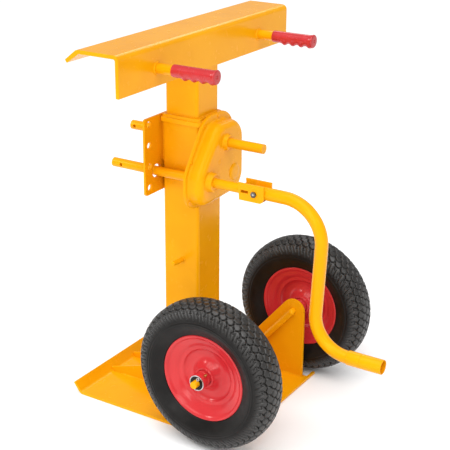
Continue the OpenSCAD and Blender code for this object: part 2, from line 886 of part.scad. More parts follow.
module hub_solid() {
    difference() {
        translate([0, 0, -hub_half]) cylinder(r = hub_radius, h = 2 * hub_half);
        translate([0, 0, -hub_half - 1]) cylinder(r = hub_bore, h = 2 * hub_half + 2);
        translate([0, 0, hub_half - 14]) rotate([0, 90, 50]) cylinder(r = 2.6, h = 40);
    }
}

module hub_near() { color(red) wheel_place(wheel_near_y, -1) hub_solid(); }
module hub_far() { color(red) wheel_place(wheel_far_y, 1) hub_solid(); }

module bearing_set() {
    for (z = [-hub_half + 1, hub_half - 17])
        difference() {
            translate([0, 0, z]) cylinder(r = hub_bore, h = 16);
            translate([0, 0, z - 1]) cylinder(r = spindle_radius + running, h = 18);
        }
}

module bearings_near() { color(steel) wheel_place(wheel_near_y, -1) bearing_set(); }
module bearings_far() { color(steel) wheel_place(wheel_far_y, 1) bearing_set(); }

module grease_solid() {
    translate([0, 0, hub_half - 14]) rotate([0, 90, 50]) {
        translate([0, 0, hub_radius - 3.5]) cylinder(r = 2.5, h = 5);
        translate([0, 0, hub_radius + 0.3]) cylinder(r = 4, h = 3, $fn = 6);
        translate([0, 0, hub_radius + 3.3]) cylinder(r1 = 2.6, r2 = 1.8, h = 4);
        translate([0, 0, hub_radius + 7.3]) cylinder(r = 2.6, h = 2);
    }
}

module grease_near() { color(brass) wheel_place(wheel_near_y, -1) grease_solid(); }
module grease_far() { color(brass) wheel_place(wheel_far_y, 1) grease_solid(); }

// ---------- drawing ----------
base_plate();
bracket_near();
bracket_far();
gusset_near();
gusset_far();
inner_leg();
lift_nut();
spindle_near();
spindle_far();
axle_washers();
cotter_pins();
outer_tube();
top_collar();
riser_tube();
beam();
handle_bar_near();
handle_bar_far();
grip_near();
grip_far();
mounting_plate();
gearbox_case();
gearbox_cover();
cover_bolts();
output_bushings();
input_bushing();
idler_stud();
thrust_plate();
thrust_bearing();
stow_peg();
drive_sleeve();
input_shaft();
input_gear();
clevis();
clevis_bolt();
clevis_nut();
crank_tube();
crank_sleeve();
idler_gear();
output_shaft();
output_gear();
bevel_pinion();
bevel_gear();
lift_screw();
tyre_near();
rim_outer_near();
rim_inner_near();
hub_near();
bearings_near();
grease_near();
tyre_far();
rim_outer_far();
rim_inner_far();
hub_far();
bearings_far();
grease_far();
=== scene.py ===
"""Looks of the wheeled trailer jack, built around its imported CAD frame. Units here are metres."""

import json
import math

import bmesh
import bpy
import numpy as np
from mathutils import Matrix, Vector

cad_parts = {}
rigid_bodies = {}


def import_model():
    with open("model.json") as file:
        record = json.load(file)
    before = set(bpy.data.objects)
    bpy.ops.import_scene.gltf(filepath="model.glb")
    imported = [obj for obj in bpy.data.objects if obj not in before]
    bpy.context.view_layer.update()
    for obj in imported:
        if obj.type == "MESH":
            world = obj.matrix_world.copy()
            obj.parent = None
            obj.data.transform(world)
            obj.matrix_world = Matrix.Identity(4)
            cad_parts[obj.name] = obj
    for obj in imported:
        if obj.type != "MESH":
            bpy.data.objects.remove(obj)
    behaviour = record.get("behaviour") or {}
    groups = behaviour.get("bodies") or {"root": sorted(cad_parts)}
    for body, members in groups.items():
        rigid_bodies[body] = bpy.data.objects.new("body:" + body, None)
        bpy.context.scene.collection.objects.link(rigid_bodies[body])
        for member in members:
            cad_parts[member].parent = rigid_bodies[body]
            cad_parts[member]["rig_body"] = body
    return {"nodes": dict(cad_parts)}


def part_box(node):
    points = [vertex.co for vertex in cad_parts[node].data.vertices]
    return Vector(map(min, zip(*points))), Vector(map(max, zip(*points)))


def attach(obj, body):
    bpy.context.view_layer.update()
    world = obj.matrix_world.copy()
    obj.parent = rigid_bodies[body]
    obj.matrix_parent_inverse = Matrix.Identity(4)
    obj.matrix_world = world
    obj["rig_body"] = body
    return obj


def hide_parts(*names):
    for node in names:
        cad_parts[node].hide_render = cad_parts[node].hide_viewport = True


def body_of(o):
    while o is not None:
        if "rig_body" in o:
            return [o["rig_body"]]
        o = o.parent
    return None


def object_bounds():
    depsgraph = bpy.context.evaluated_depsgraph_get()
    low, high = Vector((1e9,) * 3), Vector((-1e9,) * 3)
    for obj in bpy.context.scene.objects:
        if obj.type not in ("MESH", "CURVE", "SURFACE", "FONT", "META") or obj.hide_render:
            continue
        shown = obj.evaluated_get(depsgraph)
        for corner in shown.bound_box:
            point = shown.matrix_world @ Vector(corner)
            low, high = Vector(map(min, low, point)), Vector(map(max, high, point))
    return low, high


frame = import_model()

MM = 0.001
TAU = 2 * math.pi
cad_box = [list(corner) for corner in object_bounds()]
rng = np.random.default_rng(11)


# ---------------------------------------------------------------- node helpers
def new_material(name):
    material = bpy.data.materials.new(name)
    material.use_nodes = True
    tree = material.node_tree
    place = tree.nodes.new("ShaderNodeTexCoord").outputs["Object"]
    return material, tree, tree.nodes["Principled BSDF"], place


def noise(tree, place, scale, detail=3.0, rough=0.55, stretch=None):
    """Noise in object space; stretch squeezes it along the axes."""
    if stretch:
        mapping = tree.nodes.new("ShaderNodeMapping")
        mapping.inputs["Scale"].default_value = stretch
        tree.links.new(place, mapping.inputs["Vector"])
        place = mapping.outputs["Vector"]
    node = tree.nodes.new("ShaderNodeTexNoise")
    node.inputs["Scale"].default_value = scale
    node.inputs["Detail"].default_value = detail
    node.inputs["Roughness"].default_value = rough
    tree.links.new(place, node.inputs["Vector"])
    return node.outputs["Fac"]


def remap(tree, value, low, high, to_low, to_high, smooth=False):
    """Maps low..high onto to_low..to_high."""
    node = tree.nodes.new("ShaderNodeMapRange")
    node.interpolation_type = "SMOOTHSTEP" if smooth else "LINEAR"
    for key, number in zip(("From Min", "From Max", "To Min", "To Max"), (low, high, to_low, to_high)):
        node.inputs[key].default_value = number
    tree.links.new(value, node.inputs["Value"])
    return node.outputs["Result"]


def blend_colours(tree, factor, first, second):
    """Mixes two colours, each a constant or a socket."""
    node = tree.nodes.new("ShaderNodeMix")
    node.data_type = "RGBA"
    tree.links.new(factor, node.inputs["Factor"])
    for socket, colour in (("A", first), ("B", second)):
        target = [s for s in node.inputs if s.name == socket and s.type == "RGBA"][0]
        if isinstance(colour, tuple):
            target.default_value = (*colour, 1)
        else:
            tree.links.new(colour, target)
    return [s for s in node.outputs if s.type == "RGBA"][0]


def add_bump(tree, bsdf, layers):
    """Chains bump nodes: each layer is (height, strength, distance)."""
    normal = None
    for height, strength, distance in layers:
        node = tree.nodes.new("ShaderNodeBump")
        node.inputs["Strength"].default_value = strength
        node.inputs["Distance"].default_value = distance
        tree.links.new(height, node.inputs["Height"])
        if normal is not None:
            tree.links.new(normal, node.inputs["Normal"])
        normal = node.outputs["Normal"]
    tree.links.new(normal, bsdf.inputs["Normal"])


# ---------------------------------------------------------------- materials
def painted(name, colour, shade, worn, gloss, level, rough, peel):
    """Paint with a slow drift in tone, fine handling marks and orange peel."""
    material, tree, bsdf, place = new_material(name)
    drift = remap(tree, noise(tree, place, scale=7, detail=2), 0.35, 0.68, 0, 1, smooth=True)
    base = blend_colours(tree, drift, colour, shade)
    scuffs = noise(tree, place, scale=160, detail=5, rough=0.7, stretch=(1, 1, 0.25))
    most_worn = 0.10
    marks = remap(tree, scuffs, 0.75, 0.84, 0, most_worn, smooth=True)
    base = blend_colours(tree, marks, base, worn)
    tree.links.new(base, bsdf.inputs["Base Color"])
    cloudy = noise(tree, place, scale=45, detail=4)
    tree.links.new(remap(tree, cloudy, 0.3, 0.7, rough - 0.05, rough + 0.08), bsdf.inputs["Roughness"])
    bsdf.inputs["Specular IOR Level"].default_value = level
    bsdf.inputs["Specular Tint"].default_value = (*gloss, 1)
    fine = noise(tree, place, scale=620, detail=2)
    broad = noise(tree, place, scale=38, detail=2)
    add_bump(tree, bsdf, [(broad, 0.10, 0.9 * MM), (fine, peel, 0.2 * MM)])
    return material


def crown_mask(tree, place):
    """1 on the tread and 0 on the sidewalls, by distance from the wheels' shared axis."""
    wall_ends, tread_starts = 160 * MM, 184 * MM
    low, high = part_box("tyre_near")
    shifted = tree.nodes.new("ShaderNodeVectorMath")
    shifted.operation = "SUBTRACT"
    shifted.inputs[1].default_value = ((low.x + high.x) / 2, 0, (low.z + high.z) / 2)
    tree.links.new(place, shifted.inputs[0])
    flat = tree.nodes.new("ShaderNodeVectorMath")
    flat.operation = "MULTIPLY"
    flat.inputs[1].default_value = (1, 0, 1)
    tree.links.new(shifted.outputs["Vector"], flat.inputs[0])
    length = tree.nodes.new("ShaderNodeVectorMath")
    length.operation = "LENGTH"
    tree.links.new(flat.outputs["Vector"], length.inputs[0])
    return remap(tree, length.outputs["Value"], wall_ends, tread_starts, 0, 1, smooth=True)


def rubber(name, colour, dust, rough, grain, shine, crown=None):
    """Moulded rubber with dust, specks and a fine grain; crown is a lighter tread colour, a painted
    highlight for the light the tread catches from above.
    """
    speck_lift, crown_shine = 1.7, 3.4
    material, tree, bsdf, place = new_material(name)
    patches = remap(tree, noise(tree, place, scale=18, detail=5), 0.38, 0.72, 0, 1, smooth=True)
    specks = remap(tree, noise(tree, place, scale=420, detail=3), 0.45, 0.75, 0, 0.5, smooth=True)
    base = blend_colours(tree, patches, colour, dust)
    base = blend_colours(tree, specks, base, tuple(speck_lift * c for c in colour))
    if crown:
        tread_highlight_mask = crown_mask(tree, place)
        # painted highlight: the tread's colour is blended lighter than the sidewalls' where it catches more
        # light; its raised shine is the rubber's own
        base = blend_colours(tree, tread_highlight_mask, base, crown)
        sheen = remap(tree, tread_highlight_mask, 0, 1, shine, crown_shine * shine)
        tree.links.new(sheen, bsdf.inputs["Specular IOR Level"])
    tree.links.new(base, bsdf.inputs["Base Color"])
    cloudy = noise(tree, place, scale=70, detail=4)
    tree.links.new(remap(tree, cloudy, 0.3, 0.7, rough - 0.06, rough + 0.1), bsdf.inputs["Roughness"])
    bsdf.inputs["Specular IOR Level"].default_value = shine
    fine = noise(tree, place, scale=900, detail=3)
    broad = noise(tree, place, scale=120, detail=3)
    add_bump(tree, bsdf, [(fine, grain, 0.2 * MM), (broad, 0.15, 0.4 * MM)])
    return material


def metal(name, colour, tarnish, rough, brush):
    """Plated or bare metal: fine drawn lines, clouded tarnish."""
    material, tree, bsdf, place = new_material(name)
    clouds = remap(tree, noise(tree, place, scale=60, detail=5), 0.35, 0.7, 0, 1, smooth=True)
    tree.links.new(blend_colours(tree, clouds, colour, tarnish), bsdf.inputs["Base Color"])
    bsdf.inputs["Metallic"].default_value = 1
    lines = noise(tree, place, scale=300, detail=3, rough=0.6, stretch=(0.08, 1, 1))
    tree.links.new(remap(tree, lines, 0.3, 0.7, rough - 0.08, rough + 0.12), bsdf.inputs["Roughness"])
    pits = noise(tree, place, scale=700, detail=2)
    add_bump(tree, bsdf, [(lines, brush, 0.1 * MM), (pits, 0.1, 0.1 * MM)])
    return material


MATERIALS = {
    "frame_yellow": painted(
        "powder_yellow", colour=(0.86, 0.372, 0.003), shade=(0.81, 0.335, 0.002), worn=(0.66, 0.23, 0.004),
        gloss=(1.0, 0.64, 0.16), level=0.33, rough=0.21, peel=0.10),
    "rim_red": painted(
        "gloss_red", colour=(0.60, 0.034, 0.038), shade=(0.52, 0.022, 0.028), worn=(0.36, 0.02, 0.022),
        gloss=(1.0, 0.70, 0.66), level=0.46, rough=0.19, peel=0.05),
    "grip_red": rubber(
        "grip_rubber", colour=(0.44, 0.020, 0.023), dust=(0.49, 0.026, 0.030), rough=0.21, grain=0.06,
        shine=0.5),
    # the tyre's crown colour lightens the tread as a painted highlight
    "tyre_black": rubber(
        "tyre_rubber", colour=(0.0066, 0.0058, 0.0053), dust=(0.0120, 0.0108, 0.0098), rough=0.36,
        grain=0.5, shine=0.17, crown=(0.016, 0.0143, 0.0128)),
    "plated_steel": metal(
        "zinc_plate", colour=(0.62, 0.62, 0.64), tarnish=(0.42, 0.41, 0.40), rough=0.32, brush=0.25),
    "bare_steel": metal(
        "oiled_steel", colour=(0.20, 0.19, 0.18), tarnish=(0.09, 0.08, 0.07), rough=0.38, brush=0.35),
    "brass": metal(
        "turned_brass", colour=(0.80, 0.56, 0.20), tarnish=(0.58, 0.36, 0.12), rough=0.24, brush=0.25),
}


# ---------------------------------------------------------------- mesh helpers
def link_mesh(name, mesh, slot):
    """A new piece with the slot's material."""
    piece = bpy.data.objects.new(name, mesh)
    bpy.context.scene.collection.objects.link(piece)
    mesh.materials.clear()
    mesh.materials.append(MATERIALS[slot])
    return piece


def grid_faces(rows, columns, first, wrap_rows):
    """Quads over rows of points, where each row closes on itself."""
    i = np.arange(rows if wrap_rows else rows - 1)[:, None]
    j = np.arange(columns)[None, :]
    a = i * columns + j
    b = i * columns + (j + 1) % columns
    c = ((i + 1) % rows) * columns + (j + 1) % columns
    d = ((i + 1) % rows) * columns + j
    return (np.stack([a, b, c, d], -1).reshape(-1, 4) + first).tolist()


class Builder:
    """Collects closed shells of points, in metres, into one mesh."""

    def __init__(self):
        self.points = []
        self.faces = []

    def grid(self, points, wrap_rows=False, cap_start=False, cap_end=False):
        """Adds a tube or ring from rows of points."""
        rows, columns, _ = points.shape
        first = len(self.points)
        self.points.extend(points.reshape(-1, 3).tolist())
        self.faces.extend(grid_faces(rows, columns, first, wrap_rows))
        if cap_start:
            self.faces.append([first + k for k in reversed(range(columns))])
        if cap_end:
            self.faces.append([first + (rows - 1) * columns + k for k in range(columns)])

    def build(self, name, slot, smooth_angle):
        """Makes the piece; edges sharper than smooth_angle, in degrees, stay sharp."""
        mesh = bpy.data.meshes.new(name)
        mesh.from_pydata(self.points, [], self.faces)
        work = bmesh.new()
        work.from_mesh(mesh)
        bmesh.ops.recalc_face_normals(work, faces=work.faces)
        work.to_mesh(mesh)
        work.free()
        mesh.shade_smooth()
        mesh.set_sharp_from_angle(angle=math.radians(smooth_angle))
        return link_mesh(name, mesh, slot)


def smooth_path(points, step):
    """Catmull-Rom curve through the points, resampled at about the step."""
    p = np.array(points, float)
    ext = np.vstack([2 * p[0] - p[1], p, 2 * p[-1] - p[-2]])
    out = []
    for a, b, c, d in zip(ext[:-3], ext[1:-2], ext[2:-1], ext[3:]):
        count = max(2, int(round(np.linalg.norm(c - b) / step)))
        for t in np.arange(count) / count:
            out.append(0.5 * (2 * b + (c - a) * t + (2 * a - 5 * b + 4 * c - d) * t * t
                              + (3 * b - a - 3 * c + d) * t ** 3))
    out.append(p[-1])
    return np.array(out)


def around_x(profile, centre, count):
    """Lathe round an X axis: the profile is rows of (x, radius)."""
    turn = np.arange(count) * TAU / count
    radius = profile[:, 1:]
    x = np.repeat(profile[:, :1], count, 1)
    return np.stack([x, centre[1] + radius * np.cos(turn), centre[2] + radius * np.sin(turn)], -1)


def around_y(profile, centre, side, count=160):
    """Lathe round a Y axis: rows of (radius, distance outward)."""
    turn = np.arange(count) * TAU / count
    radius = profile[:, :1]
    y = np.repeat(centre[1] + side * profile[:, 1:], count, 1)
    return np.stack([centre[0] + radius * np.cos(turn), y, centre[2] + radius * np.sin(turn)], -1)


def finish_piece(piece, *nodes):
    """Rides on the first node's body and stands for all of them."""
    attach(piece, body_of(frame["nodes"][nodes[0]])[0])
    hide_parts(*nodes)


def softened(node, slot, width):
    """A copy of a CAD node with joined facets and rounded edges; the beam's fold is rounded more."""
    join_within, on_fold, fold_round = 0.002 * MM, 2 * MM, 5 * MM
    flat_angle, edge_angle = 0.6, 32
    mesh = frame["nodes"][node].data.copy()
    work = bmesh.new()
    work.from_mesh(mesh)
    bmesh.ops.remove_doubles(work, verts=work.verts, dist=join_within)
    bmesh.ops.dissolve_limit(work, angle_limit=math.radians(flat_angle), verts=work.verts, edges=work.edges)
    if node == "beam":
        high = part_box(node)[1]
        fold = [e for e in work.edges
                if all(abs(v.co.x - high.x) < on_fold and abs(v.co.z - high.z) < on_fold for v in e.verts)]
        bmesh.ops.bevel(work, geom=fold, offset=fold_round, segments=6, profile=0.5, affect="EDGES")
    work.to_mesh(mesh)
    work.free()
    mesh.shade_smooth()
    piece = link_mesh(node + "_finish", mesh, slot)
    bevel = piece.modifiers.new("edges", "BEVEL")
    bevel.limit_method = "ANGLE"
    bevel.angle_limit = math.radians(edge_angle)
    bevel.width = width
    bevel.segments = 3
    weighted = piece.modifiers.new("normals", "WEIGHTED_NORMAL")
    weighted.keep_sharp = True
    finish_piece(piece, node)


# a direction that no weld runs along, so that a cross product with it is never zero
OFF_AXIS = np.array([0.31, 0.53, 0.79])


def weld(builder, points, radius, closed=False):
    """A rippled bead of weld metal along a path of points, thin at its open ends."""
    step, ripple_length, taper, sides = 1.3 * MM, 4.2 * MM, 3 * MM, 10
    ripple_height, uneven = 0.13, 0.05
    p = np.array(points, float)
    if closed:
        p = np.vstack([p, p[:1]])
    lengths = np.linalg.norm(np.diff(p, axis=0), axis=1)
    along = np.concatenate([[0], np.cumsum(lengths)])
    count = max(8, int(along[-1] / step))
    at = np.linspace(0, along[-1], count, endpoint=not closed)
    centre = np.stack([np.interp(at, along, p[:, k]) for k in range(3)], -1)
    if closed:
        ahead, behind = np.roll(centre, -1, 0), np.roll(centre, 1, 0)
    else:
        ahead, behind = np.vstack([centre[1:], centre[-1:]]), np.vstack([centre[:1], centre[:-1]])
    tangent = ahead - behind
    tangent /= np.linalg.norm(tangent, axis=1)[:, None]
    u = np.cross(tangent, OFF_AXIS)
    u /= np.linalg.norm(u, axis=1)[:, None]
    v = np.cross(tangent, u)
    ripple = 1 + ripple_height * np.sin(at / ripple_length * TAU) + uneven * rng.standard_normal(count)
    if not closed:
        ripple *= np.clip(np.minimum(at, along[-1] - at) / taper, 0.05, 1) ** 0.5
    turn = np.arange(sides) * TAU / sides
    ring = u[:, None] * np.cos(turn)[None, :, None] + v[:, None] * np.sin(turn)[None, :, None]
    builder.grid(centre[:, None] + radius * ripple[:, None, None] * ring,
                 wrap_rows=closed, cap_start=not closed, cap_end=not closed)


def ring_points(centre, normal_axis, radius):
    """Points on a circle that faces along one axis: 0 is X and 1 is Y."""
    count = 40
    turn = np.arange(count) * TAU / count
    first, second = [k for k in range(3) if k != normal_axis]
    out = np.repeat(np.array(centre, float)[None, :], count, 0)
    out[:, first] += radius * np.cos(turn)
    out[:, second] += radius * np.sin(turn)
    return out


# ---------------------------------------------------------------- sheet and tube parts
# slot, then each node that keeps its CAD shape, with its edge rounding in millimetres
SOFTENED = {
    "frame_yellow": {
        "base_plate": 1.0, "bracket_near": 0.9, "bracket_far": 0.9, "gusset_near": 0.8, "gusset_far": 0.8,
        "inner_leg": 0.8, "spindle_near": 0.8, "spindle_far": 0.8, "outer_tube": 0.8, "top_collar": 1.6,
        "riser_tube": 0.6, "beam": 1.4, "handle_bar_near": 0.6, "handle_bar_far": 0.6, "mounting_plate": 0.8,
        "gearbox_case": 1.2, "stow_peg": 1.6, "input_shaft": 1.4, "clevis": 0.9, "output_shaft": 1.4,
        "cover_bolts": 0.5, "drive_sleeve": 0.6, "output_bushings": 0.4, "input_bushing": 0.4,
    },
    "plated_steel": {"clevis_nut": 0.6},
    "brass": {"lift_nut": 0.6},
    "bare_steel": {
        "clevis_bolt": 0.9, "thrust_plate": 0.6, "thrust_bearing": 0.6, "input_gear": 0.25,
        "idler_gear": 0.25, "output_gear": 0.25, "bevel_pinion": 0.2, "bevel_gear": 0.2, "lift_screw": 0.3,
        "bearings_near": 0.8, "bearings_far": 0.8,
    },
}
for slot_name, group in SOFTENED.items():
    for node_name, width in group.items():
        softened(node_name, slot_name, width * MM)


# ---------------------------------------------------------------- wheels
TREAD_BLOCKS = 54


def tread_gap(turn, across, radius):
    """How far into a groove a point of the tread is, 0 on a block and 1 in the groove's floor."""
    row, half_gap, slope = 15.5 * MM, 0.9 * MM, 1.5 * MM
    bulge, flatten, far_away = 0.18, 1.12, 1.0
    pitch = TAU / TREAD_BLOCKS * radius
    along, across = np.broadcast_arrays(turn * radius, across)
    nearest = np.full(along.shape, far_away)
    second = np.full(along.shape, far_away)
    lane = np.round(across / row)
    for step in (-1, 0, 1):
        here = lane + step
        shift = 0.5 * pitch * (here % 2)
        place = (along - shift) / pitch
        for extra in (-1, 0, 1):
            off = (place - np.round(place) - extra) * pitch
            # blocks bulge forward in their middle, which curves their edges like scales
            far = np.hypot(off + bulge * np.abs(across - here * row), flatten * (across - here * row))
            second = np.where(far < nearest, nearest, np.minimum(second, far))
            nearest = np.minimum(nearest, far)
    block = np.clip(((second - nearest) / 2 - half_gap) / slope, 0, 1)
    return 1 - block * block * (3 - 2 * block)


def tyre(node, side):
    """Tyre as one closed outline turned round its axle, with the tread cut into it."""
    nominal_width = 102 * MM
    tread_ends, tread_fade, groove_depth = 23 * MM, 3 * MM, 4.6 * MM
    slot_from, slot_fade, slot_depth = 15 * MM, 2 * MM, 2.6 * MM
    long_slot, short_slot, slot_end_fade = 39 * MM, 33 * MM, 3 * MM
    slot_lean, slot_half, slot_floor = 26 * MM, 0.16, 1.3
    crown_depth = 20 * MM
    low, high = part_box(node)
    centre = (low + high) / 2
    outer = (high.x - low.x) / 2
    scale = (high.y - low.y) / nominal_width
    # half outline as depth below the crown and distance sideways, in millimetres
    half = [[0.0, 0], [0.8, 14], [3.2, 24], [8, 32.5], [15.5, 40], [25, 45.8], [34, 49], [42, 50.6],
            [48, 51], [54, 50.2], [61, 47.6], [69, 43.4], [76, 39.4], [81, 36.8], [83.6, 35.0]]
    curve = smooth_path([(outer - a * MM, b * MM * scale) for a, b in half], 1.35 * MM)
    left = curve[:0:-1] * [1, -1]
    # the side that sits on the rim, in the same two measures
    hidden = np.array([[84.2, 29.2], [93, 29.2], [95.2, 26.5], [99.2, 23.8], [101, 22.8]])
    well = np.stack([outer - hidden[:, 0] * MM, hidden[:, 1] * MM], -1)
    profile = np.vstack([left, curve, well, well[::-1] * [1, -1]])
    count = 14 * TREAD_BLOCKS
    turn = np.arange(count) * TAU / count
    r = np.repeat(profile[:, :1], count, 1)
    w = np.repeat(profile[:, 1:], count, 1)
    steps = np.linalg.norm(np.diff(profile, axis=0), axis=1)
    arc = np.concatenate([[0], np.cumsum(steps)])
    arc -= arc[len(left)]
    depth = outer - profile[:, 0]
    on_tread = np.clip((tread_ends - depth) / tread_fade, 0, 1)[:, None]
    cut = tread_gap(turn[None, :], arc[:, None], outer) * groove_depth * on_tread
    # slots down the shoulder, alternately long and short, two to a tread block
    phase = turn * 2 * TREAD_BLOCKS / TAU
    lean = phase[None, :] + depth[:, None] / slot_lean
    ends = np.where(np.round(lean) % 2 == 0, long_slot, short_slot)
    shoulder = np.clip((depth[:, None] - slot_from) / slot_fade, 0, 1)
    shoulder = shoulder * np.clip((ends - depth[:, None]) / slot_end_fade, 0, 1)
    across_slot = np.abs(lean - np.round(lean)) / slot_half
    cut += shoulder * np.clip(slot_floor - across_slot, 0, 1) * slot_depth
    # thin moulded rings on the sidewall, as depth below the crown, cut and width in millimetres
    for at, high_by, wide in ((44.5, 1.3, 1.2), (47.6, -0.5, 1.0), (50.6, 0.7, 0.9)):
        cut += (high_by * MM * np.exp(-((depth - at * MM) / (wide * MM)) ** 2))[:, None]
    # the cut goes inward along the outline's normal
    tangent = np.gradient(profile, axis=0)
    normal = np.stack([tangent[:, 1], -tangent[:, 0]], -1)
    normal /= np.linalg.norm(normal, axis=1)[:, None]
    normal *= np.where((normal[:, :1] < 0) & (depth[:, None] < crown_depth), -1, 1)
    inside = np.sign(normal[:, 1:] * profile[:, 1:])
    normal = np.where((depth[:, None] >= crown_depth) & (inside < 0), -normal, normal)
    r = r - cut * normal[:, :1]
    w = w - cut * normal[:, 1:]
    points = np.stack([centre.x + r * np.cos(turn), centre.y + side * w, centre.z + r * np.sin(turn)], -1)
    made = Builder()
    made.grid(points, wrap_rows=True)
    finish_piece(made.build(node + "_tread", "tyre_black", 60), node)


def half_rim(node, side):
    """One stamped half rim: rolled edge, band, step, dish and centre cone."""
    nominal_radius, sheet, band_from, band_inset = 119 * MM, 2.3 * MM, 100 * MM, 0.8 * MM
    low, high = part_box(node)
    middle = (low + high) / 2
    outer = (high.x - low.x) / 2
    tyre_low, tyre_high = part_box(node.replace("rim_outer", "tyre").replace("rim_inner", "tyre"))
    centre = Vector((middle.x, (tyre_low.y + tyre_high.y) / 2, middle.z))
    # radius and distance outward from the tyre's centre plane, in millimetres
    face = [[119, 31.6], [118.6, 33.6], [117.2, 34.8], [115.2, 34.9], [112.6, 34.0], [110, 32.0],
            [107.6, 29.4], [104.4, 27.4], [98, 24.6], [92, 21.8], [87, 18.4], [83.6, 15.8], [80, 14.6],
            [75.6, 14.2], [73.2, 13.2], [71.2, 10.6], [68.6, 7.8], [64, 5.4], [57, 4.1], [50, 4.3],
            [44, 6.3], [38.5, 10.0], [33.5, 15.4], [29, 21.4], [27.2, 24.6], [26.8, 26.0], [25.4, 26.6],
            [24.6, 27.8], [23.6, 28.0], [22.4, 28.0]]
    points = np.array(face)
    points[:, 0] *= outer / nominal_radius
    curve = smooth_path(points * MM, 1.6 * MM)
    back = curve.copy()
    back[:, 1] -= sheet
    back[:, 0] -= np.where(curve[:, 0] > band_from, band_inset, 0)
    profile = np.vstack([curve, back[::-1]])
    made = Builder()
    made.grid(around_y(profile, centre, side), wrap_rows=True)
    finish_piece(made.build(node + "_stamping", "rim_red", 50), node)


def hub(node, side):
    """Hub tube with two turned ridges near each end."""
    low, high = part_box(node)
    centre = (low + high) / 2
    half = (high.y - low.y) / 2
    radius = (high.x - low.x) / 2
    bore = 17.6 * MM
    ends = []
    for s in (-1, 1):
        edge = [(radius - 0.7 * MM, 30 * MM), (radius - 0.7 * MM, half - 25.5 * MM),
                (radius, half - 24.5 * MM), (radius, half - 21.5 * MM),
                (radius - 0.8 * MM, half - 20.5 * MM), (radius - 0.8 * MM, half - 8 * MM),
                (radius, half - 7 * MM), (radius, half - 1.4 * MM), (radius - 0.5 * MM, half - 0.4 * MM),
                (radius - 1.4 * MM, half), (bore + 1 * MM, half), (bore, half - 0.9 * MM)]
        ends.append(np.array(edge) * [1, s])
    profile = np.vstack([ends[1], ends[0][::-1]])
    made = Builder()
    made.grid(around_y(profile, centre, side, 96), wrap_rows=True)
    finish_piece(made.build(node + "_turned", "rim_red", 30), node)


def grease_fitting(node):
    """Hexagon, waist and ball of a grease nipple, along its own slanted axis."""
    low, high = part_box(node)
    mid = (low + high) / 2
    hub_low, hub_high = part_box(node.replace("grease", "hub"))
    axis_point = (hub_low + hub_high) / 2
    out = Vector((mid.x - axis_point.x, 0, mid.z - axis_point.z)).normalized()
    foot = Vector((axis_point.x, mid.y, axis_point.z))
    # distance from the axle and radius, in millimetres; counted from 0, rows 2 and 3 are the hexagon
    profile = np.array([[18.5, 2.4], [22.3, 2.4], [22.4, 3.9], [25.1, 3.9], [25.5, 3.3], [25.8, 2.1],
                        [27.6, 1.7], [28.6, 2.2], [29.8, 2.6], [31.0, 2.3], [31.5, 1.2]]) * MM
    hexagon_rows = (2, 3)
    sideways = Vector((0, 1, 0))
    third = out.cross(sideways)
    count = 36
    turn = np.arange(count) * TAU / count
    hexed = 1 / np.cos((turn + TAU / 12) % (TAU / 6) - TAU / 12)
    rows = []
    for k, (along, radius) in enumerate(profile):
        r = radius * (hexed if k in hexagon_rows else np.ones(count))
        rows.append([list(foot + out * along + sideways * (r[j] * math.cos(turn[j]))
                          + third * (r[j] * math.sin(turn[j]))) for j in range(count)])
    made = Builder()
    made.grid(np.array(rows), cap_start=True, cap_end=True)
    finish_piece(made.build(node + "_nipple", "brass", 35), node)


for which, outward in (("near", -1), ("far", 1)):
    tyre("tyre_" + which, outward)
    half_rim("rim_outer_" + which, outward)
    half_rim("rim_inner_" + which, -outward)
    hub("hub_" + which, outward)
    grease_fitting("grease_" + which)


def axle_washers():
    """Plated washers, each with a dark dust seal pressed on its face."""
    low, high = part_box("axle_washers")
    hub_low, hub_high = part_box("hub_near")
    x, z = (hub_low.x + hub_high.x) / 2, (hub_low.z + hub_high.z) / 2
    rings, seals = Builder(), Builder()
    for side, face in ((-1, low.y), (1, high.y)):
        centre = Vector((x, face, z))
        ring = [(9.6, -2.5), (18.6, -2.5), (20.6, -2.5), (21, -2.1), (21, -0.5), (20.6, -0.05),
                (19.0, -0.05), (18.6, -0.5), (18.6, -1.2), (9.6, -1.2)]
        seal = [(9.7, -1.15), (18.4, -1.15), (18.4, -0.75), (17.2, -0.55), (15.6, -0.9), (13.4, -0.5),
                (11.4, -0.35), (10.2, -0.6), (9.7, -0.9)]
        rings.grid(around_y(np.array(ring) * MM, centre, side, 64), wrap_rows=True)
        seals.grid(around_y(np.array(seal) * MM, centre, side, 64), wrap_rows=True)
    finish_piece(rings.build("axle_washers_plated", "plated_steel", 30), "axle_washers")
    finish_piece(seals.build("axle_dust_seals", "tyre_black", 30), "axle_washers")


axle_washers()


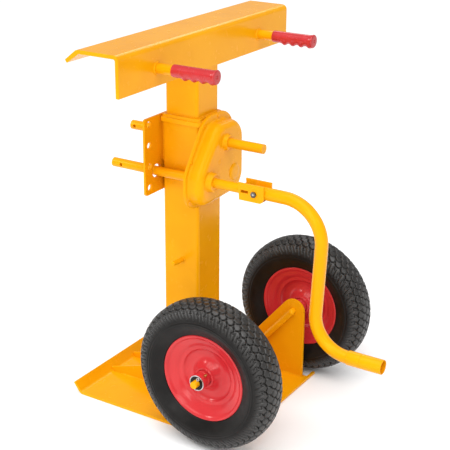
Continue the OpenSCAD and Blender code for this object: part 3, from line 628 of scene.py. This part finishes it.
def cotter_pair():
    """Two split pins: a round eye, twin legs through the spindle, and bent ends."""
    low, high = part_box("cotter_pins")
    made = Builder()
    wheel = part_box("hub_near")
    axle = Vector(((wheel[0].x + wheel[1].x) / 2, 0, (wheel[0].z + wheel[1].z) / 2))
    wire, inset, sides = 1.35 * MM, 3.2 * MM, 10
    tilt = math.radians(25)
    for y in (low.y + inset, high.y - inset):
        up = Vector((math.sin(tilt), 0, math.cos(tilt)))
        across = Vector((math.cos(tilt), 0, -math.sin(tilt)))
        centre = Vector((axle.x, y, axle.z))
        for s in (-1, 1):
            eye = [centre + up * (15.5 + 3.6 * math.cos(a)) * MM + across * (s * 3.4 * math.sin(a)) * MM
                   for a in np.linspace(0, 2.5, 9)]
            leg = [centre + up * 11 * MM + across * s * 0.9 * MM,
                   centre - up * 10.5 * MM + across * s * 0.9 * MM]
            bent = [centre - up * 13.5 * MM + across * s * 2.2 * MM,
                    centre - up * 16.5 * MM + across * s * 6.0 * MM]
            path = smooth_path([list(q) for q in eye + leg + bent], 1.2 * MM)
            tangent = np.gradient(path, axis=0)
            tangent /= np.linalg.norm(tangent, axis=1)[:, None]
            u = np.cross(tangent, [0, 1, 0])
            u /= np.linalg.norm(u, axis=1)[:, None]
            v = np.cross(tangent, u)
            turn = np.arange(sides) * TAU / sides
            ring = u[:, None] * np.cos(turn)[None, :, None] + v[:, None] * np.sin(turn)[None, :, None]
            made.grid(path[:, None] + wire * ring, cap_start=True, cap_end=True)
    finish_piece(made.build("cotter_pins_wire", "plated_steel", 50), "cotter_pins")


cotter_pair()


# ---------------------------------------------------------------- grips
def grip(node):
    """Moulded grip with finger lobes below and a dimpled, thicker end."""
    end_radius, bore, bore_short, sides = 17.5 * MM, 12.55 * MM, 6 * MM, 56
    lobe_depth, lobe_width, lobe_round = 4.7, 6.6, 1.3
    low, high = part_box(node)
    centre = Vector((0, (low.y + high.y) / 2, high.z - end_radius))
    left, right = low.x, high.x
    # where the lobes are along X, and the outline's radii, in millimetres
    lobes = (142, 167, 192, 217)
    outline = [(left, 12.6), (left, 14.0), (left + 0.6 * MM, 15.0), (left + 2 * MM, 15.5),
               (left + 25 * MM, 15.5), (right - 12 * MM, 15.5), (right - 7 * MM, 16.2),
               (right - 4.5 * MM, 17.2), (right - 2 * MM, 17.3), (right - 0.6 * MM, 16.4), (right, 14.4),
               (right, 4.4), (right - 0.8 * MM, 3.6), (right - 2 * MM, 3.2)]
    steps = []
    for (x0, r0), (x1, r1) in zip(outline[:-1], outline[1:]):
        count = max(1, int(abs(x1 - x0) / (1.6 * MM)))
        steps += [(x0 + (x1 - x0) * k / count, r0 + (r1 - r0) * k / count) for k in range(count)]
    steps.append(outline[-1])
    profile = np.array(steps)
    turn = np.arange(sides) * TAU / sides
    below = np.clip(-np.sin(turn), 0, 1) ** lobe_round
    lobe = sum(np.exp(-((profile[:, 0] / MM - at) / lobe_width) ** 2) for at in lobes)
    r = profile[:, 1:] + lobe_depth * lobe[:, None] * below[None, :] * (profile[:, 1:] > 12)
    r *= MM
    x = np.repeat(profile[:, :1], sides, 1)
    points = np.stack([x, centre.y + r * np.cos(turn), centre.z + r * np.sin(turn)], -1)
    inner = around_x(np.array([[left, bore], [right - bore_short, bore]]), centre, sides)
    made = Builder()
    made.grid(np.concatenate([inner[::-1], points]), cap_start=True, cap_end=True)
    finish_piece(made.build(node + "_moulded", "grip_red", 45), node)


grip("grip_near")
grip("grip_far")


# ---------------------------------------------------------------- crank
def crank():
    """Crank tube with two bends in the XZ plane, and its sleeve. The tube has no hole for the bolt."""
    low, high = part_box("crank_tube")
    shaft_low, shaft_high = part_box("input_shaft")
    sleeve_low, sleeve_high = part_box("crank_sleeve")
    y = (shaft_low.y + shaft_high.y) / 2
    top_z = (shaft_low.z + shaft_high.z) / 2
    low_z = (sleeve_low.z + sleeve_high.z) / 2
    outer, inner = 16.75 * MM, 13.8 * MM
    bend_top, bend_low = 106 * MM, 94 * MM
    top_reach, low_reach = 433 * MM, 424 * MM
    first = np.array([top_reach - bend_top, top_z - bend_top])
    second = np.array([low_reach + bend_low, low_z + bend_low])
    span = second - first
    tilt = math.atan2(span[1], span[0]) + math.acos((bend_top + bend_low) / np.linalg.norm(span))
    direction = np.array([math.cos(tilt), math.sin(tilt)])
    leave, meet = first + bend_top * direction, second - bend_low * direction
    path = [[low.x + 1 * MM, top_z]]
    path += [[x, top_z] for x in np.linspace(low.x + 4 * MM, first[0] - 4 * MM, 10)]
    path += [list(first + bend_top * np.array([math.cos(a), math.sin(a)]))
             for a in np.linspace(math.pi / 2, tilt, 30)]
    path += [list(leave + (meet - leave) * t) for t in np.linspace(0.04, 0.96, 20)]
    path += [list(second + bend_low * np.array([math.cos(a), math.sin(a)]))
             for a in np.linspace(math.pi + tilt, 1.5 * math.pi, 30)]
    path += [[x, low_z] for x in np.linspace(second[0] + 4 * MM, high.x - 1 * MM, 12)]
    path += [[high.x, low_z]]
    path = np.array(path)
    tangent = np.gradient(path, axis=0)
    tangent /= np.linalg.norm(tangent, axis=1)[:, None]
    normal = np.stack([-tangent[:, 1], tangent[:, 0]], -1)
    count = 56
    turn = np.arange(count) * TAU / count

    def tube(radii):
        x = path[:, :1] + normal[:, :1] * radii[:, None] * np.cos(turn)
        z = path[:, 1:] + normal[:, 1:] * radii[:, None] * np.cos(turn)
        return np.stack([x, y + radii[:, None] * np.sin(turn), z], -1)

    radii = np.full(len(path), outer)
    radii[-1] = outer - 0.9 * MM
    radii[0] = outer - 1.6 * MM
    rows = np.concatenate([tube(radii), tube(np.full(len(path), inner))[::-1]])
    made = Builder()
    made.grid(rows, wrap_rows=True)
    finish_piece(made.build("crank_tube_bent", "frame_yellow", 50), "crank_tube")

    centre = (sleeve_low + sleeve_high) / 2
    left, right, r = sleeve_low.x, sleeve_high.x, (sleeve_high.y - sleeve_low.y) / 2
    seam, nominal = left + 37 * MM, 19
    outline = [(left, 16.9), (left, 18.0), (left + 0.9 * MM, 18.8), (left + 2 * MM, nominal),
               (seam - 0.7 * MM, nominal), (seam - 0.4 * MM, 18.1), (seam + 0.4 * MM, 18.1),
               (seam + 0.7 * MM, nominal), (right - 1.2 * MM, nominal), (right - 0.3 * MM, 18.7),
               (right, 18.2), (right, 17.3), (right - 0.5 * MM, 16.9)]
    profile = np.array(outline) * [1, r / nominal]
    made = Builder()
    made.grid(around_x(profile, centre, 72), wrap_rows=True)
    finish_piece(made.build("crank_sleeve_turned", "frame_yellow", 35), "crank_sleeve")


crank()


def clevis_bolt_crown():
    """Bright turned crown in the middle of the clevis bolt's darker head."""
    low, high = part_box("clevis_bolt")
    centre = Vector(((low.x + high.x) / 2, low.y, (low.z + high.z) / 2))
    crown = np.array([(0.4, -0.2), (2.6, -0.25), (4.2, -0.45), (5.1, -0.9), (5.2, -2.2), (0.4, -2.2)]) * MM
    made = Builder()
    made.grid(around_y(crown + [0, 0.25 * MM], centre, -1, 40), wrap_rows=True)
    finish_piece(made.build("clevis_bolt_crown", "plated_steel", 35), "clevis_bolt")


clevis_bolt_crown()


# ---------------------------------------------------------------- gearbox cover
def gearbox_cover():
    """Pressed cover with two bosses and a dome, and the idler's peened stud.

    The cover is a closed shell without bores, so the shafts run through its wall.
    """
    front, inner_front, round_over, boss_foot, sides = 108, 104.5, 21, 104, 220
    # outlines round circles of (y, z, radius), in millimetres
    flange = [[-78, 648, 58], [-80, 672, 56], [-9, 761, 63], [34, 761, 63], [42, 652, 62]]
    cover = [[-76, 650, 48], [-77, 674, 46], [-4, 754, 52], [36, 751, 54], [36, 661, 55]]
    turn = np.arange(sides) * TAU / sides
    facing = np.stack([np.cos(turn), np.sin(turn)], -1)

    def outline(circles, offset):
        c = np.array(circles, float)
        support = facing @ c[:, :2].T + c[:, 2] + offset
        best = np.argmax(support, 1)
        return c[best, :2] + (c[best, 2] + offset)[:, None] * facing

    def row(x, circles, offset):
        flat = outline(circles, offset) * MM
        return np.concatenate([np.full((len(flat), 1), x * MM), flat], 1)

    # rows of x, outline and how far outside it; shell runs back to front and inner front to back
    shell = [(66.0, flange, -0.6), (67.6, flange, -0.6), (68.5, flange, -1.1), (69, flange, -2.2),
             (69, cover, 5.5), (69.4, cover, 3.4), (70.6, cover, 1.6), (73, cover, 0.6), (77, cover, 0.2),
             (84, cover, -0.2)]
    shell += [(front - round_over * (1 - math.sin(a)), cover, -0.3 - 0.85 * round_over * (1 - math.cos(a)))
              for a in np.linspace(0.12, math.pi / 2, 13)]
    shell += [(front, cover, -22), (front, cover, -30)]
    inner = [(inner_front, cover, -30), (inner_front, cover, -22), (101, cover, -14), (94, cover, -8),
             (84, cover, -5), (66, cover, -4)]
    made = Builder()
    outer_rows = np.array([row(*s) for s in shell])
    inner_rows = np.array([row(*s) for s in inner])
    made.grid(np.concatenate([outer_rows[::-1], inner_rows[::-1]]), cap_start=True, cap_end=True)
    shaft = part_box("input_shaft")
    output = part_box("output_shaft")
    lower = Vector((0, (shaft[0].y + shaft[1].y) / 2, (shaft[0].z + shaft[1].z) / 2))
    upper = Vector((0, 0, (output[0].z + output[1].z) / 2))

    def boss(centre, radius, end, mouth, recess):
        f = (end - boss_foot) * MM
        x0 = boss_foot * MM
        profile = [(x0, radius + 2.5), (x0 + 4.1 * MM, radius + 2.5), (x0 + 5 * MM, radius + 0.9),
                   (x0 + 6.6 * MM, radius), (x0 + f - 1.4 * MM, radius - 0.3),
                   (x0 + f - 0.4 * MM, radius - 0.8), (x0 + f, radius - 1.8), (x0 + f, mouth + 1.0),
                   (x0 + f - 0.6 * MM, mouth), (x0 + f - recess * MM, mouth)]
        p = np.array(profile) * [1, MM]
        made.grid(around_x(p, centre, 72), wrap_rows=True)

    boss(upper, radius=20.8, end=120, mouth=16.2, recess=8)
    boss(lower, radius=24.8, end=124, mouth=18.3, recess=10)
    blind = Vector((0, 38 * MM, 665 * MM))
    dome = [(inner_front, 23.5), (108.2, 23.5)]
    dome += [(front + 4 * math.sin(a), 14 + 9 * math.cos(a)) for a in np.linspace(0.05, math.pi / 2, 7)]
    dome += [(112, 4)]
    made.grid(around_x(np.array(dome) * MM, blind, 72), cap_start=True, cap_end=True)
    finish_piece(made.build("gearbox_cover_pressed", "frame_yellow", 38), "gearbox_cover")

    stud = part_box("idler_stud")
    centre = (stud[0] + stud[1]) / 2
    end = stud[1].x
    back = stud[0].x
    profile = np.array([(back, 7.9 * MM), (end - 2 * MM, 7.9 * MM), (end - 1.4 * MM, 6.9 * MM),
                        (end - 0.8 * MM, 6.5 * MM), (end - 0.5 * MM, 5.6 * MM), (end - 0.9 * MM, 3 * MM),
                        (end - 1.5 * MM, 1 * MM)])
    made = Builder()
    made.grid(around_x(profile, centre, 48), cap_start=True, cap_end=True)
    finish_piece(made.build("idler_stud_peened", "frame_yellow", 40), "idler_stud")


gearbox_cover()


# ---------------------------------------------------------------- welds
def welds():
    """Weld beads of the base, the column and the clevis, each as one piece on its body."""
    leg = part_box("inner_leg")
    plate_top = leg[0].z
    half = leg[1].x
    base = Builder()
    bead, spindle_ring = 2.3 * MM, 10.2 * MM
    for s in (-1, 1):
        weld(base, [(s * half, -half + 4 * MM, plate_top), (s * half, half - 4 * MM, plate_top)], bead)
    for name in ("gusset_near", "gusset_far"):
        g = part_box(name)
        y = g[0].y if name == "gusset_near" else g[1].y
        weld(base, [(g[0].x + 40 * MM, y, plate_top), (g[1].x - 2 * MM, y, plate_top)], bead)
        inner_y = -half if name == "gusset_near" else half
        weld(base, [(-half + 3 * MM, inner_y, g[1].z), (24 * MM, inner_y, g[1].z)], bead * 0.8)
    for name in ("bracket_near", "bracket_far"):
        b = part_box(name)
        for y in (b[0].y, b[1].y):
            weld(base, [(b[0].x + 8 * MM, y, plate_top), (b[1].x - 4 * MM, y, plate_top)], bead)
        hub_low, hub_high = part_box(name.replace("bracket", "hub"))
        face = b[0].y if "near" in name else b[1].y
        axle = ((hub_low.x + hub_high.x) / 2, face, (hub_low.z + hub_high.z) / 2)
        weld(base, ring_points(axle, 1, spindle_ring), bead * 0.8, closed=True)
    piece = base.build("base_welds", "frame_yellow", 60)
    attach(piece, "base")

    column = Builder()
    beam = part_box("beam")
    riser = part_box("riser_tube")
    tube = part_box("outer_tube")
    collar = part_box("top_collar")
    web_low = beam[1].z - 101 * MM
    handle_ring = 14.0 * MM
    r = riser[1].x
    for name in ("handle_bar_near", "handle_bar_far"):
        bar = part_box(name)
        root = (beam[1].x, (bar[0].y + bar[1].y) / 2, (bar[0].z + bar[1].z) / 2)
        weld(column, ring_points(root, 0, handle_ring), 2.9 * MM, closed=True)
    weld(column, [(r, -r + 6 * MM, web_low), (r, r - 6 * MM, web_low)], 2.4 * MM)
    top = riser[1].z
    for s in (-1, 1):
        weld(column, [(-r + 6 * MM, s * r, top), (r - 6 * MM, s * r, top)], 2.6 * MM)
        weld(column, [(s * r, -r + 6 * MM, collar[1].z), (s * r, r - 6 * MM, collar[1].z)], 1.8 * MM)
        weld(column, [(-r + 6 * MM, s * r, collar[1].z), (r - 6 * MM, s * r, collar[1].z)], 1.8 * MM)
    t = tube[1].x
    # half width, bottom and top of the seams behind the gearbox and behind the mounting plate
    case_seam = (50 * MM, 612 * MM, 790 * MM)
    plate_seam = (46 * MM, 694 * MM, 794 * MM)
    for s in (-1, 1):
        for x, (half_wide, foot, head) in ((t, case_seam), (-t, plate_seam)):
            weld(column, [(x, s * half_wide, foot), (x, s * half_wide, head)], 2.0 * MM)
    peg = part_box("stow_peg")
    peg_height, peg_ring = 421 * MM, 7.2 * MM
    peg_root = ((peg[0].x + peg[1].x) / 2, -t, peg_height)
    weld(column, ring_points(peg_root, 1, peg_ring), 1.9 * MM, closed=True)
    piece = column.build("column_welds", "frame_yellow", 60)
    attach(piece, "column")

    shaft = Builder()
    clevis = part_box("clevis")
    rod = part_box("input_shaft")
    shaft_ring = 13.2 * MM
    shaft_end = (clevis[0].x + 0.4 * MM, (rod[0].y + rod[1].y) / 2, (rod[0].z + rod[1].z) / 2)
    weld(shaft, ring_points(shaft_end, 0, shaft_ring), 1.9 * MM, closed=True)
    piece = shaft.build("clevis_weld", "frame_yellow", 60)
    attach(piece, "input_shaft")


welds()


# ---------------------------------------------------------------- stage, light and camera
floor_mesh = bpy.data.meshes.new("studio_floor")
reach = 70.0
corners = [(-reach, -reach, 0), (reach, -reach, 0), (reach, reach, 0), (-reach, reach, 0)]
floor_mesh.from_pydata(corners, [], [(0, 1, 2, 3)])
floor = bpy.data.objects.new("studio_floor", floor_mesh)
bpy.context.scene.collection.objects.link(floor)
floor_gap = 0.2 * MM
floor.location.z = cad_box[0][2] - floor_gap
floor_material, floor_tree, floor_bsdf, floor_place = new_material("pale_floor")
floor_drift = noise(floor_tree, floor_place, scale=2, detail=2)
floor_tint = blend_colours(floor_tree, floor_drift, (0.96, 0.96, 0.96), (0.97, 0.97, 0.97))
floor_tree.links.new(floor_tint, floor_bsdf.inputs["Base Color"])
floor_bsdf.inputs["Roughness"].default_value = 0.9
floor_bsdf.inputs["Specular IOR Level"].default_value = 0.1
floor_mesh.materials.append(floor_material)

world = bpy.data.worlds.new("soft_studio")
bpy.context.scene.world = world
world.use_nodes = True
world.node_tree.nodes["Background"].inputs["Color"].default_value = (1, 1, 1, 1)
world.node_tree.nodes["Background"].inputs["Strength"].default_value = 0.42


def aim(obj, target):
    """Points a light at the target."""
    obj.rotation_mode = "QUATERNION"
    obj.rotation_quaternion = (Vector(target) - obj.location).to_track_quat("-Z", "Y")


def soft_box(name, where, target, size, watts, along=None):
    """Rectangular light; along turns its longer side to that direction."""
    data = bpy.data.lights.new(name, "AREA")
    data.shape = "RECTANGLE"
    data.size, data.size_y = size
    data.energy = watts
    light = bpy.data.objects.new(name, data)
    bpy.context.scene.collection.objects.link(light)
    light.location = where
    aim(light, target)
    if along:
        facing = (light.location - Vector(target)).normalized()
        length = (Vector(along) - facing * facing.dot(Vector(along))).normalized()
        axes = Matrix((length, facing.cross(length), facing)).transposed()
        light.rotation_quaternion = axes.to_quaternion()


sun_data = bpy.data.lights.new("overcast", "SUN")
sun_data.energy = 2.3
sun_data.angle = math.radians(60)
sun = bpy.data.objects.new("overcast", sun_data)
bpy.context.scene.collection.objects.link(sun)
sun.location = (0.5, -1.1, 3)
aim(sun, (0.3, 0, 0))

middle = (Vector(cad_box[0]) + Vector(cad_box[1])) / 2
soft_box("key_box", where=(-2.5, -1.8, 2.8), target=(0, 0, 0.8), size=(0.7, 0.7), watts=26)
soft_box("long_box", where=(1.10, -3.2, 1.57), target=(0.2, -0.3, 0.21), size=(3.1, 0.9), watts=38,
         along=(0.605, 0.447, 0.605))
soft_box("camera_side_box", where=(1.7, -2.1, 2.5), target=(0.2, -0.25, 0.4), size=(0.4, 0.35), watts=5)
soft_box("right_box", where=(2.9, -0.6, 2.1), target=middle, size=(0.9, 0.9), watts=9)
soft_box("top_box", where=(-0.6, 2.2, 2.7), target=(0, 0, 0.7), size=(1.6, 1.0), watts=14)

camera_data = bpy.data.cameras.new("photo_camera")
camera_data.lens = 90.1
camera_data.sensor_width = 36
camera = bpy.data.objects.new("photo_camera", camera_data)
bpy.context.scene.collection.objects.link(camera)
# the camera's own axes and place, from a fit of the photograph's view
right = Vector((0.8469, 0.5316, 0.0069))
up = Vector((-0.1982, 0.3036, 0.9319))
back = Vector((0.4933, -0.7907, 0.3625))
stand = Vector((1.5877, -2.3772, 1.6136))
camera.matrix_world = Matrix((
    (right.x, up.x, back.x, stand.x),
    (right.y, up.y, back.y, stand.y),
    (right.z, up.z, back.z, stand.z),
    (0, 0, 0, 1)))
bpy.context.scene.camera = camera
bpy.context.scene.view_settings.view_transform = "Standard"
